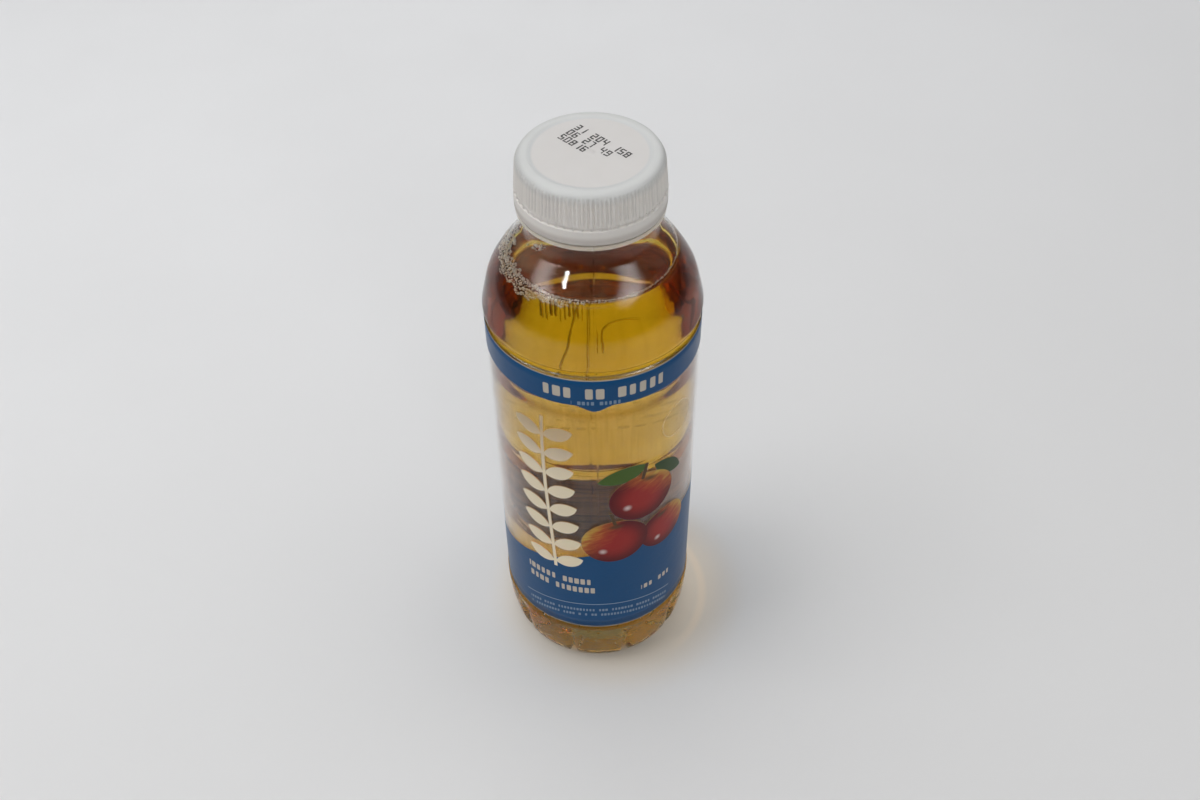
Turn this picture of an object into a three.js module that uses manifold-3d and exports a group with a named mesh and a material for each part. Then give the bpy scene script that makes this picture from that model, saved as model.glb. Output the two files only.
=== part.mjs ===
// A clear plastic juice bottle with its drink, its film label and its ribbed screw cap.
// Millimetres, +Z up. The origin is on the table, under the middle of the bottle.
import * as THREE from "three";
import { mergeVertices } from "three/addons/utils/BufferGeometryUtils.js";
import Module from "manifold-3d";

// Wall and clearance
const WALL = 0.45; // thickness of the blown wall
const FIT = 0.3; // gap between a piece and its neighbour

// Base: a ring of feet, parted by narrow grooves that run up the heel
const FEET = 10;
const FOOT_CORNERS = [0, 0.08, 0.3, 0.7, 0.92]; // shares of one foot, from groove to groove, low on the body
const CORNER_STEPS = [1, FOOT_CORNERS.length - 1]; // those of them that are a groove's two sides
const ROUND = FEET * FOOT_CORNERS.length; // sides of everything that is turned about the axis
const FOOT_INNER = 20.3;
const FOOT_OUTER = 24.0;
const HOLLOW_HEIGHT = 3.8;
const HOLLOW = [ // shape of the hollow under the base, as shares of FOOT_INNER and HOLLOW_HEIGHT
  [0, 1],
  [0.55, 0.8],
  [0.8, 0.42],
  [1, 0],
];
const HEEL_TOP = 18.4;
const HEEL_RADIUS = 27.9;
const HEEL_STEPS = 5;
const GROOVE_DEPTH = 0.8;
const GROOVE_WIDENS = 0.06; // how far a side of a groove moves out on its way up the heel, as a share of one foot
const GROOVE_START = 12.2; // radius under the base where the grooves begin
const GROOVE_FADE = 8.0; // how far below the top of the heel a groove reaches its depth
const GROOVE_RISE = 1.4; // how far a groove lifts the rim that the bottle stands on
const CORNER_RISE = 0.5; // how far the corner of a foot is cut off
const RISE_FADE = 6.0; // height at which both have died away

// Label panel: a straight wall with ring grooves
const PANEL_RADIUS = 27.15;
const PANEL_BOTTOM = 18.9;
const PANEL_TOP = 124.5;
const RING_HEIGHTS = [57.0, 84.6, 112.3];
const RING_HALF = 4.0;
const RING_FLOOR_HALF = 1.9;
const RING_DEPTH = 0.9;

// Bead, shoulder and neck, with the collar under the cap
const BEAD_RADIUS = 27.75;
const BEAD_BOTTOM = 125.2;
const NECK_RADIUS = 15.7;
const SHOULDER = [
  [BEAD_RADIUS, 126.2],
  [26.9, 130.0],
  [25.8, 134.0],
  [23.7, 138.0],
  [21.0, 142.0],
  [17.6, 146.0],
  [16.2, 147.8],
  [NECK_RADIUS, 149.8],
];
const SHOULDER_STEPS = 9;
const NECK_BORE = 14.5;
const NECK_TOP = 166.7;
const COLLAR_RADIUS = 17.8;
const COLLAR_BOTTOM = 154.0;
const COLLAR_TOP = 155.2;
const COLLAR_SLOPE = 0.5; // how much the collar thickens towards the neck

// Drink: its level, and the froth along part of its edge
const LEVEL = 140.5;
const FROTH_FROM = 130; // degrees, from +X towards +Y
const FROTH_TO = 285;
const FROTH_HEIGHT = 0.9;
const FROTH_CREST = 1.1; // how far the crest lies in from the wall
const FROTH_WIDTH = 2.6;

// Label film
const FILM = 0.2;
const FILM_BOTTOM = 19.1;
const FILM_TOP = 124.0;

// Cap: a plain band, a skirt with ribs, and a flat disc inside a rounded rim
const CAP_BOTTOM = 155.6;
const CAP_TOP = 168.6;
const CAP_BORE = NECK_RADIUS + FIT;
const BAND_RADIUS = 18.0;
const BAND_TOP = 159.5;
const TEAR_LINE = 0.3; // depth and height of the line where the band tears off
const SKIRT_FOOT_RADIUS = 17.65;
const SKIRT_TOP_RADIUS = 16.95;
const RIM_ROUND = 1.9;
const RIM_STEPS = 4;
const DISC_RADIUS = 14.2;
const DISC_DROP = 0.3; // how far the disc lies below the rim
const RIBS = 108;
const RIB_DEPTH = 0.28;
const RIB_BOTTOM = 160.3;
const RIB_TOP = 166.4;
const RIB_ROOT = 0.4; // how far the ribs' ring reaches into the skirt
const RIB_VALLEY = 0.03; // how far the valleys between the ribs stand off the skirt

const wasm = await Module();
wasm.setup();

const toPoints = (pairs) => pairs.map(([radius, height]) => new THREE.Vector2(radius, height));

// Where a value lies between two others, from 0 to 1
const ramp = (value, from, to) => THREE.MathUtils.clamp((value - from) / (to - from), 0, 1);

// Points on an ellipse's arc about a centre, with angles in degrees from the outward direction
function arc(centre, halfSize, from, to, steps) {
  const points = [];
  for (let i = 0; i <= steps; i += 1) {
    const angle = THREE.MathUtils.degToRad(from + ((to - from) * i) / steps);
    const radius = centre[0] + halfSize[0] * Math.cos(angle);
    points.push(new THREE.Vector2(radius, centre[1] + halfSize[1] * Math.sin(angle)));
  }
  return points;
}

// The four corners of one ring groove in the label panel
function ringGroove(height) {
  const floor = PANEL_RADIUS - RING_DEPTH;
  return toPoints([
    [PANEL_RADIUS, height - RING_HALF],
    [floor, height - RING_FLOOR_HALF],
    [floor, height + RING_FLOOR_HALF],
    [PANEL_RADIUS, height + RING_HALF],
  ]);
}

// Outline of the blown body, from the middle of the underside out and up to the foot of the neck
function bodyOutline() {
  const heel = [HEEL_RADIUS - FOOT_OUTER, HEEL_TOP];
  return [
    ...toPoints(HOLLOW.map(([across, up]) => [FOOT_INNER * across, HOLLOW_HEIGHT * up])),
    ...arc([FOOT_OUTER, HEEL_TOP], heel, -90, 0, HEEL_STEPS),
    ...toPoints([[PANEL_RADIUS, PANEL_BOTTOM]]),
    ...RING_HEIGHTS.flatMap(ringGroove),
    ...toPoints([
      [PANEL_RADIUS, PANEL_TOP],
      [BEAD_RADIUS, BEAD_BOTTOM],
    ]),
    ...new THREE.SplineCurve(toPoints(SHOULDER)).getPoints(SHOULDER_STEPS),
  ];
}

// An outline moved inwards by a distance, with mitred corners; a point on the axis stays on it
function inset(outline, distance) {
  const ways = outline.slice(1).map((point, i) => point.clone().sub(outline[i]).normalize());
  const normals = ways.map((way) => new THREE.Vector2(-way.y, way.x));
  return outline.map((point, i) => {
    const arriving = normals[Math.max(i - 1, 0)];
    const leaving = normals[Math.min(i, normals.length - 1)];
    const mitre = arriving.clone().add(leaving).normalize();
    const moved = point.clone().addScaledVector(mitre, distance / mitre.dot(leaving));
    return point.x === 0 ? new THREE.Vector2(0, point.y + distance) : moved;
  });
}

// A body turned about Z from an outline that starts and ends on the axis, or that is closed.
// The middle of one side faces the front, which is -Y.
function turn(outline) {
  return new THREE.LatheGeometry(outline, ROUND, Math.PI / ROUND).rotateX(Math.PI / 2);
}

// Moves each vertex by a rule on its radius, its angle and its height
function reshape(geometry, rule) {
  const position = geometry.getAttribute("position");
  for (let i = 0; i < position.count; i += 1) {
    const x = position.getX(i);
    const y = position.getY(i);
    const { radius, angle, height } = rule(Math.hypot(x, y), Math.atan2(y, x), position.getZ(i));
    position.setXYZ(i, radius * Math.cos(angle), radius * Math.sin(angle), height);
  }
  return geometry;
}

// Low on the body, the sides move to the corners of the feet, and the grooves cut in and up.
// The middle of a foot faces the front. The sides are even again above the first ring groove.
function shapeFeet(radius, angle, height) {
  const pitch = (2 * Math.PI) / FEET;
  const along = (angle + Math.PI / 2) / pitch + 0.5;
  const steps = Math.round(along * FOOT_CORNERS.length);
  const foot = Math.floor(steps / FOOT_CORNERS.length);
  const step = steps - foot * FOOT_CORNERS.length;
  const inGroove = step === 0 ? 1 : 0;
  const atCorner = CORNER_STEPS.includes(step) ? 1 : 0;
  const wider = GROOVE_WIDENS * ramp(height, 0, HEEL_TOP) * atCorner * Math.sign(0.5 - FOOT_CORNERS[step]);
  const outward = ramp(radius, GROOVE_START, FOOT_INNER);
  const groove = outward * (1 - ramp(height, HEEL_TOP - GROOVE_FADE, HEEL_TOP));
  const lift = outward * (1 - ramp(height, 0, RISE_FADE));
  const even = step / FOOT_CORNERS.length;
  const uneven = outward * (1 - ramp(height, PANEL_BOTTOM, RING_HEIGHTS[0] - RING_HALF));
  const share = THREE.MathUtils.lerp(even, FOOT_CORNERS[step] + wider, uneven);
  return {
    radius: radius - GROOVE_DEPTH * inGroove * groove,
    angle: (foot + share - 0.5) * pitch - Math.PI / 2,
    height: height + (GROOVE_RISE * inGroove + CORNER_RISE * atCorner) * lift,
  };
}

// The bottle: its outer skin with the collar, the mouth, then the inner skin down to the floor
function bottleGeometry() {
  const outer = bodyOutline();
  const neck = toPoints([
    [NECK_RADIUS, COLLAR_BOTTOM - COLLAR_SLOPE],
    [COLLAR_RADIUS, COLLAR_BOTTOM],
    [COLLAR_RADIUS, COLLAR_TOP],
    [NECK_RADIUS, COLLAR_TOP],
    [NECK_RADIUS, NECK_TOP],
    [NECK_BORE, NECK_TOP],
    [NECK_BORE, COLLAR_BOTTOM],
  ]);
  const inner = inset(outer, WALL).reverse();
  return reshape(turn([...outer, ...neck, ...inner]), shapeFeet);
}

// A number between 0 and 1 that looks random and is always the same for the same index
function scatter(index) {
  return THREE.MathUtils.euclideanModulo(Math.sin(index * 12.9898) * 43758.5453, 1);
}

// The drink up to its level, with lumpy froth on part of its edge
function drinkGeometry() {
  const skin = inset(bodyOutline(), WALL + FIT);
  const above = skin.findIndex((point) => point.y > LEVEL);
  const low = skin[above - 1];
  const high = skin[above];
  const edge = low.clone().lerp(high, ramp(LEVEL, low.y, high.y));
  const crest = edge.x - FROTH_CREST;
  const surface = toPoints([
    [crest, LEVEL],
    [edge.x - FROTH_WIDTH, LEVEL],
    [0, LEVEL],
  ]);
  const body = reshape(turn([...skin.slice(0, above), edge, ...surface]), shapeFeet);
  return reshape(body, (radius, angle, height) => {
    const degrees = THREE.MathUtils.euclideanModulo(THREE.MathUtils.radToDeg(angle), 360);
    const onCrest = Math.abs(radius - crest) < 0.01 && height > LEVEL - 0.01;
    const frothy = onCrest && degrees > FROTH_FROM && degrees < FROTH_TO;
    const lump = FROTH_HEIGHT * (0.5 + 0.5 * scatter(Math.round(degrees)));
    return { radius, angle, height: frothy ? height + lump : height };
  });
}

// The label film, a thin sleeve round the panel
function labelGeometry() {
  const inside = PANEL_RADIUS + FIT;
  const outside = inside + FILM;
  return turn(
    toPoints([
      [inside, FILM_BOTTOM],
      [outside, FILM_BOTTOM],
      [outside, FILM_TOP],
      [inside, FILM_TOP],
      [inside, FILM_BOTTOM],
    ]),
  );
}

// The cap without its ribs, from the middle of its inside to the middle of its disc
function capBody() {
  const inside = NECK_TOP + FIT;
  const skirtFoot = BAND_TOP + 2 * TEAR_LINE;
  return turn([
    ...toPoints([
      [0, inside],
      [CAP_BORE, inside],
      [CAP_BORE, CAP_BOTTOM],
      [BAND_RADIUS, CAP_BOTTOM],
      [BAND_RADIUS, BAND_TOP],
      [BAND_RADIUS - 2 * TEAR_LINE, BAND_TOP + TEAR_LINE / 2],
      [BAND_RADIUS - 2 * TEAR_LINE, skirtFoot - TEAR_LINE / 2],
      [SKIRT_FOOT_RADIUS, skirtFoot],
    ]),
    ...arc([SKIRT_TOP_RADIUS - RIM_ROUND, CAP_TOP - RIM_ROUND], [RIM_ROUND, RIM_ROUND], 0, 90, RIM_STEPS),
    ...toPoints([
      [DISC_RADIUS, CAP_TOP - DISC_DROP],
      [0, CAP_TOP - DISC_DROP],
    ]),
  ]);
}

// The ribs as one toothed ring, which narrows upwards as the skirt does
function capRibs() {
  const toothed = new THREE.Shape();
  const teeth = 2 * RIBS;
  for (let i = 0; i < teeth; i += 1) {
    const angle = (i / teeth) * 2 * Math.PI;
    const radius = SKIRT_FOOT_RADIUS + RIB_VALLEY + RIB_DEPTH * (i % 2);
    const corner = [radius * Math.cos(angle), radius * Math.sin(angle)];
    if (i === 0) toothed.moveTo(...corner);
    else toothed.lineTo(...corner);
  }
  toothed.closePath();
  const hole = new THREE.Path();
  hole.absarc(0, 0, SKIRT_FOOT_RADIUS - RIB_ROOT, 0, 2 * Math.PI, true);
  toothed.holes.push(hole);
  const depth = RIB_TOP - RIB_BOTTOM;
  const ring = new THREE.ExtrudeGeometry(toothed, { depth, bevelEnabled: false, curveSegments: ROUND });
  ring.translate(0, 0, RIB_BOTTOM);
  const taper = SKIRT_FOOT_RADIUS - SKIRT_TOP_RADIUS;
  return reshape(ring, (radius, angle, height) => ({
    radius: radius - taper * ramp(height, RIB_BOTTOM, CAP_TOP - RIM_ROUND),
    angle,
    height,
  }));
}

// A geometry as a solid that can be joined to others
function solid(geometry) {
  const bare = geometry.clone();
  bare.deleteAttribute("normal");
  bare.deleteAttribute("uv");
  const merged = mergeVertices(bare);
  return new wasm.Manifold(
    new wasm.Mesh({
      numProp: 3,
      vertProperties: new Float32Array(merged.getAttribute("position").array),
      triVerts: new Uint32Array(merged.index.array),
    }),
  );
}

// A solid as a geometry again
function geometryOf(body) {
  const mesh = body.getMesh();
  const geometry = new THREE.BufferGeometry();
  geometry.setAttribute("position", new THREE.BufferAttribute(mesh.vertProperties, mesh.numProp));
  geometry.setIndex(new THREE.BufferAttribute(mesh.triVerts, 1));
  geometry.computeVertexNormals();
  return geometry;
}

const capGeometry = () => geometryOf(solid(capBody()).add(solid(capRibs())));

const MATERIALS = {
  clearPlastic: new THREE.MeshStandardMaterial({
    color: 0xdfe3e0,
    roughness: 0.08,
    metalness: 0,
    transparent: true,
    opacity: 0.35,
  }),
  juice: new THREE.MeshStandardMaterial({ color: 0xc08a2a, roughness: 0.1, metalness: 0 }),
  film: new THREE.MeshStandardMaterial({ color: 0x24508a, roughness: 0.3, metalness: 0 }),
  capPlastic: new THREE.MeshStandardMaterial({ color: 0xd6d3cf, roughness: 0.45, metalness: 0 }),
};

function piece(name, geometry, material) {
  const mesh = new THREE.Mesh(geometry, material);
  mesh.name = name;
  return mesh;
}

const juiceBottle = new THREE.Group();
juiceBottle.add(
  piece("bottle", bottleGeometry(), MATERIALS.clearPlastic),
  piece("juice", drinkGeometry(), MATERIALS.juice),
  piece("label_film", labelGeometry(), MATERIALS.film),
  piece("cap", capGeometry(), MATERIALS.capPlastic),
);

export default juiceBottle;
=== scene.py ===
import math
import random

import bmesh
import bpy
from mathutils import Matrix, Vector


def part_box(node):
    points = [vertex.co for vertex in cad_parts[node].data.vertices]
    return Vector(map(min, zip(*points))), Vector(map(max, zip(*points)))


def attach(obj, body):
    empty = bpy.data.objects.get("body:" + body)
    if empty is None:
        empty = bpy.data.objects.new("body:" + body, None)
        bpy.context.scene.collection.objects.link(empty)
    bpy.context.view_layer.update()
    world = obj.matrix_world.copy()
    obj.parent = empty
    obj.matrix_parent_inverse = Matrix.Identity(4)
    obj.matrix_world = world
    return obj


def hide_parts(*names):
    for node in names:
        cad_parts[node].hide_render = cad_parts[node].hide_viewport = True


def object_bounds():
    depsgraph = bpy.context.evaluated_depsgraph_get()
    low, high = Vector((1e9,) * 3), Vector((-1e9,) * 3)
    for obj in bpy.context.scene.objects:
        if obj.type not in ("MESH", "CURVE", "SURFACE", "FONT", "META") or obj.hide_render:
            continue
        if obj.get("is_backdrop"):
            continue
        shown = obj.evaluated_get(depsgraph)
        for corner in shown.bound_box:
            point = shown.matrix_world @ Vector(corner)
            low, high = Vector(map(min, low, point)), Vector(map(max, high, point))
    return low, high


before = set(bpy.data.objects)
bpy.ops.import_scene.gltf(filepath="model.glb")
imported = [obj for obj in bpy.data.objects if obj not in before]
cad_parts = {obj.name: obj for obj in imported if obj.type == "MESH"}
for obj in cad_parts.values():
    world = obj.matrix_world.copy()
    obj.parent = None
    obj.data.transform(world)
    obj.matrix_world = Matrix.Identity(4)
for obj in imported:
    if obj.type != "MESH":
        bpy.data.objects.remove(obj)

CAD_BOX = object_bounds()
MM = 0.001

# Sizes from the frame
BODY_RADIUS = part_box("bottle")[1].x / MM
CAP_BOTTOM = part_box("cap")[0].z / MM
CAP_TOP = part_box("cap")[1].z / MM
FILM_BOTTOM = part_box("label_film")[0].z / MM
FILM_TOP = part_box("label_film")[1].z / MM
FILM_RADIUS = 27.65
FILM_THICKNESS = 0.2

# Bottle: base and heel
WALL = 0.45
FEET = 10
FOOT_INNER = 20.3
FOOT_OUTER = 24.0
HOLLOW_HEIGHT = 3.8
HEEL_TOP = 18.4
GROOVE_DEPTH = 1.2
GROOVE_FOOT_HALF = 1.2
GROOVE_HEAD_HALF = 2.6
GROOVE_RISE = 2.0
GROOVE_FADE = 10.0
# Bottle: panel, shoulder, neck
PANEL_RADIUS = 27.15
PANEL_BOTTOM = 18.9
PANEL_TOP = 124.5
RING_HEIGHTS = [57.0, 84.6, 112.3]
RING_HALF = 4.0
RING_FLOOR_HALF = 1.9
RING_DEPTH = 0.9
BEAD_RADIUS = 27.75
BEAD_BOTTOM = 125.2
SHOULDER = [
    (BEAD_RADIUS, 126.2), (26.9, 130.0), (25.8, 134.0), (23.7, 138.0),
    (21.0, 142.0), (17.6, 146.0), (16.2, 147.8), (15.7, 149.8),
]
NECK_RADIUS = 15.7
NECK_BORE = 14.5
NECK_TOP = 166.7
COLLAR_RADIUS = 17.8
COLLAR_BOTTOM = 154.0
COLLAR_TOP = 155.2
# From here up to the cap the neck is painted milky and pale, for its reflection of the bright cap and floor
COLLAR_FOOT = 151.0
SEAM_ANGLE = 1.0
SEAM_HALF = 0.6
SEAM_HEIGHT = 0.26
# Drink
LEVEL = 140.5
MENISCUS_RISE = 1.2
MENISCUS_WIDTH = 1.3
RIPPLE_HEIGHT = 0.24
JUICE_COLOUR = (0.945, 0.85, 0.06, 1)
JUICE_DENSITY = 100.0
# Froth on the drink's edge, by degrees from the front: where it is full, and where it ends
FROTH_FULL = (-140.0, -60.0)
FROTH_ENDS = (-178.0, 22.0)
# A thin line of it at the right: where it starts, is whole, starts to fade and ends
FROTH_LINE = (-50.0, -30.0, 20.0, 62.0)
FROTH_LINE_SHARE = 0.15
FROTH_LEAST = 0.07
FROTH_WIDTH = 2.2
FROTH_DEPTH = 3.4
FROTH_TRIES = 26000
FROTH_SPACING = 0.98
FROTH_TAN = (0.90, 0.70, 0.50, 1)
FROTH_PALE = (1.0, 0.95, 0.86, 1)
CLUSTER_PLACE = Vector((-13.0, 1.0))
CLUSTER_BUBBLES = 26

# Cap
CAP_BORE = 16.0
BAND_RADIUS = 18.0
BAND_TOP = 159.5
TEAR_LINE = 0.3
SKIRT_FOOT_RADIUS = 17.65
SKIRT_TOP_RADIUS = 16.95
RIM_ROUND = 1.9
DISC_RADIUS = 14.2
DISC_DROP = 0.3
# Rows of plain digits on the cap, printed as dots
CODE_PLACE = Vector((-2.9, 10.2))
CODE_TILT = -45.5
CODE_DOT = 0.31
CODE_PITCH = 1.74
CODE_SPACING = 2.6
CODE_ROWS = ["31 204 158", "06 27 49", "50816"]
STROKES = {
    "0": "abcdef", "1": "bc", "2": "abged", "3": "abgcd", "4": "fgbc",
    "5": "afgcd", "6": "afgedc", "7": "abc", "8": "abcdefg", "9": "abcdfg", " ": "",
}
RIBS = 108
RIB_DEPTH = 0.4
RIB_BOTTOM = 160.3
RIB_TOP = 167.5
TEETH = 54
TOOTH_REACH = 0.5
SKIRT_BOTTOM = BAND_TOP + 2 * TEAR_LINE
CAP_MARKS = (-2.4, 2.2)
MARK_DEPTH = 0.3
# Camera, worked out from the photo's circles
CAMERA_PLACE = Vector((0.0, -234.44, 330.39)) * MM
CAMERA_RIGHT = Vector((0.9998235, -0.0161608, -0.0095858))
CAMERA_UP = Vector((0.0182845, 0.7192784, 0.6944813))
CAMERA_LENS = 37.077


# Numbers and outlines

def clamp(value, low=0.0, high=1.0):
    return max(low, min(high, value))


def smooth(value, low, high):
    """0 below low, 1 above high, and a smooth ramp between them"""
    t = clamp((value - low) / (high - low))
    return t * t * (3 - 2 * t)


def spline(points, steps):
    """A Catmull-Rom curve through the points, with so many steps between each two"""
    curve = []
    for i in range(len(points) - 1):
        near = [Vector(points[clamp(i + k, 0, len(points) - 1)]) for k in (-1, 0, 1, 2)]
        for k in range(steps):
            t = k / steps
            out = (near[2] - near[0]) / 2
            back = (near[3] - near[1]) / 2
            bend = 2 * near[1] - 2 * near[2] + out + back
            lean = 3 * near[2] - 3 * near[1] - 2 * out - back
            curve.append(tuple(bend * t**3 + lean * t**2 + out * t + near[1]))
    return curve + [tuple(points[-1])]


def rounded(corners, steps=4):
    """An outline of (radius, height, how far its corner is cut back) with its corners rounded"""
    outline = []
    for i, (radius, height, cut) in enumerate(corners):
        if cut == 0:
            outline.append((radius, height))
            continue
        here = Vector((radius, height))
        before = Vector(corners[i - 1][:2])
        after = Vector(corners[(i + 1) % len(corners)][:2])
        start = here + (before - here).normalized() * cut
        end = here + (after - here).normalized() * cut
        for k in range(steps + 1):
            t = k / steps
            outline.append(tuple(start * (1 - t) ** 2 + here * 2 * t * (1 - t) + end * t**2))
    return outline


def refined(outline, longest):
    """The outline with its long stretches split"""
    fine = [outline[0]]
    for start, end in zip(outline, outline[1:]):
        count = max(1, math.ceil(math.dist(start, end) / longest))
        for k in range(1, count + 1):
            fine.append(tuple(Vector(start).lerp(Vector(end), k / count)))
    return fine


def inset(outline, distance):
    """The outline moved inwards, with mitred corners; a point on the axis stays on it"""
    moved = []
    for i, (radius, height) in enumerate(outline):
        here = Vector((radius, height))
        before = Vector(outline[max(i - 1, 0)])
        after = Vector(outline[min(i + 1, len(outline) - 1)])
        ways = [w.normalized() for w in (here - before, after - here) if w.length > 1e-6]
        normals = [Vector((-w.y, w.x)) for w in ways]
        mitre = sum(normals, Vector((0, 0))).normalized()
        point = here + mitre * distance / max(mitre.dot(normals[0]), 0.5)
        moved.append((0.0, height + distance) if radius == 0 else tuple(point))
    return moved


# Meshes

def new_piece(name, vertices, faces, materials, indices=None, smooth_faces=True):
    """An object from vertices in millimetres, with a material for each face"""
    mesh = bpy.data.meshes.new(name)
    mesh.from_pydata([(x * MM, y * MM, z * MM) for x, y, z in vertices], [], faces)
    for material in materials:
        mesh.materials.append(material)
    if indices:
        mesh.polygons.foreach_set("material_index", indices)
    mesh.polygons.foreach_set("use_smooth", [smooth_faces] * len(mesh.polygons))
    mesh.update()
    piece = bpy.data.objects.new(name, mesh)
    bpy.context.scene.collection.objects.link(piece)
    return piece


def even_angles(sides):
    return [2 * math.pi * k / sides for k in range(sides)]


def turned(outline, angles, rule=None):
    """Vertices and faces of an outline turned about Z. It runs from axis to axis, or it closes."""
    closed = outline[0][0] > 0
    vertices = []
    rings = []
    for radius, height in outline:
        if radius == 0:
            rings.append([len(vertices)] * len(angles))
            vertices.append((0.0, 0.0, height))
            continue
        rings.append(list(range(len(vertices), len(vertices) + len(angles))))
        for angle in angles:
            r, a, z = rule(radius, angle, height) if rule else (radius, angle, height)
            vertices.append((r * math.sin(a), -r * math.cos(a), z))
    faces = []
    pairs = list(zip(rings, rings[1:] + rings[:1])) if closed else list(zip(rings, rings[1:]))
    for low, high in pairs:
        for j in range(len(angles)):
            k = (j + 1) % len(angles)
            corners = [low[j], low[k], high[k], high[j]]
            faces.append(tuple(dict.fromkeys(corners)))
    return vertices, faces


# Bottle

def in_groove(angle, height):
    """Share of the depth of a groove between two feet: flat sides that meet in a crease"""
    pitch = 2 * math.pi / FEET
    off = abs((angle / pitch) % 1 - 0.5) * pitch
    half = GROOVE_FOOT_HALF + (GROOVE_HEAD_HALF - GROOVE_FOOT_HALF) * clamp(height / HEEL_TOP)
    return clamp(1.25 * (1 - off * FOOT_OUTER / half))


def shape_feet(radius, angle, height):
    """Cuts the grooves into the heel and lifts the rim where they end"""
    outward = smooth(radius, 12.0, FOOT_INNER)
    depth = GROOVE_DEPTH * outward * (1 - smooth(height, HEEL_TOP - GROOVE_FADE, HEEL_TOP))
    lift = GROOVE_RISE * outward * (1 - smooth(height, 0.0, 6.0))
    share = in_groove(angle, height)
    return radius - depth * share, angle, height + lift * share


def shape_wall(radius, angle, height):
    """The feet's grooves, and the thin line that the mould's halves leave on two sides"""
    radius, angle, height = shape_feet(radius, angle, height)
    from_seam = (math.degrees(angle) - SEAM_ANGLE + 90) % 180 - 90
    across = abs(from_seam) / SEAM_HALF
    ridge = SEAM_HEIGHT * (1 - smooth(across, 0.0, 1.0)) if height > HEEL_TOP and radius > NECK_BORE else 0
    return radius + ridge, angle, height


def body_outline():
    """From the middle of the underside out and up to the foot of the neck"""
    hollow = [(FOOT_INNER * t, HOLLOW_HEIGHT * (1 - t**2.2)) for t in (0, 0.2, 0.4, 0.55, 0.7, 0.8, 0.9)]
    heel = []
    for k in range(19):
        angle = math.radians(-90 + 5 * k)
        across = FOOT_OUTER + (BODY_RADIUS - FOOT_OUTER) * math.cos(angle)
        heel.append((across, HEEL_TOP + HEEL_TOP * math.sin(angle)))
    rim = [(FOOT_INNER - 0.6, 0.18), (FOOT_INNER + 0.4, 0.0), (FOOT_OUTER - 1.2, 0.0)]
    floor = PANEL_RADIUS - RING_DEPTH
    panel = [(BODY_RADIUS, HEEL_TOP, 0), (PANEL_RADIUS, PANEL_BOTTOM, 0.2)]
    for height in RING_HEIGHTS:
        panel += [
            (PANEL_RADIUS, height - RING_HALF, 0.9),
            (floor, height - RING_FLOOR_HALF, 0.9),
            (floor, height + RING_FLOOR_HALF, 0.9),
            (PANEL_RADIUS, height + RING_HALF, 0.9),
        ]
    panel += [(PANEL_RADIUS, PANEL_TOP, 0.3), (BEAD_RADIUS, BEAD_BOTTOM, 0.3), (*SHOULDER[0], 0)]
    return refined(hollow + rim + heel[1:] + rounded(panel)[1:-1], 3.0) + spline(SHOULDER, 5)


def bottle_angles():
    """Even steps, with finer ones across the two seams"""
    angles = even_angles(240)
    for side in (0, 180):
        for k in range(-4, 5):
            angles.append(math.radians((SEAM_ANGLE + side + SEAM_HALF * k / 4) % 360))
    return sorted(set(round(a, 6) for a in angles))


def make_bottle(clear, milky_reflection):
    outer = body_outline()
    neck = rounded([
        (*outer[-1], 0),
        (NECK_RADIUS, COLLAR_BOTTOM - 0.6, 0.6),
        (COLLAR_RADIUS, COLLAR_BOTTOM, 0.3),
        (COLLAR_RADIUS, COLLAR_TOP, 0.3),
        (NECK_RADIUS, COLLAR_TOP, 0.2),
        (NECK_RADIUS, NECK_TOP, 0.3),
        (NECK_BORE, NECK_TOP, 0.3),
        (NECK_BORE, COLLAR_BOTTOM, 2.0),
        (*inset(outer, WALL)[-1], 0),
    ])
    inner = inset(outer, WALL)
    outline = outer + refined(neck[1:-1], 3.0) + inner[::-1]
    angles = bottle_angles()
    vertices, faces = turned(outline, angles, shape_wall)
    on_collar = []
    for radius, height in outline:
        on_collar.append(radius > NECK_BORE + 0.5 and COLLAR_FOOT < height < CAP_BOTTOM)
    indices = [int(on_collar[k // len(angles)]) for k in range(len(faces))]
    return new_piece("bottle_shell", vertices, faces, [clear, milky_reflection], indices)


# Drink

def drink_skin():
    """The drink's outline up to its level, with its skin in the middle of the wall"""
    skin = inset(body_outline(), WALL / 2)
    top = LEVEL + MENISCUS_RISE
    above = next(i for i, (_, height) in enumerate(skin) if height > top)
    low, high = Vector(skin[above - 1]), Vector(skin[above])
    return skin[:above] + [tuple(low.lerp(high, (top - low.y) / (high.y - low.y)))]


def surface_height(from_wall):
    """Height of the drink's surface at a distance from the wall, where it climbs"""
    return LEVEL + MENISCUS_RISE * math.exp(-from_wall / MENISCUS_WIDTH)


def ripple(radius, angle, height):
    """The feet's grooves, with the faint waves of the thick base in the drink's skin"""
    radius, angle, height = shape_feet(radius, angle, height)
    low = (1 - smooth(height, 9.0, HEEL_TOP)) * smooth(radius, 6.0, FOOT_INNER)
    waves = math.sin(31 * angle + 2 * math.sin(1.1 * height))
    waves *= math.sin(0.8 * height + 2 * math.sin(7 * angle))
    return radius + RIPPLE_HEIGHT * low * waves, angle, height


def make_drink(material):
    skin = drink_skin()
    edge = skin[-1][0]
    top = []
    for from_wall in (0.2, 0.45, 0.75, 1.1, 1.5, 2.0, 2.7, 3.6, 5.0, 8.0, 14.0):
        top.append((edge - from_wall, surface_height(from_wall)))
    vertices, faces = turned(skin + top + [(0.0, LEVEL)], even_angles(240), ripple)
    return new_piece("drink", vertices, faces, [material])


def rim_radius(height):
    """Radius of the inside of the wall at a height in the shoulder"""
    for (r0, z0), (r1, z1) in zip(SHOULDER, SHOULDER[1:]):
        if z0 <= height <= z1:
            return r0 + (r1 - r0) * (height - z0) / (z1 - z0) - WALL * 1.25
    return NECK_BORE


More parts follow.
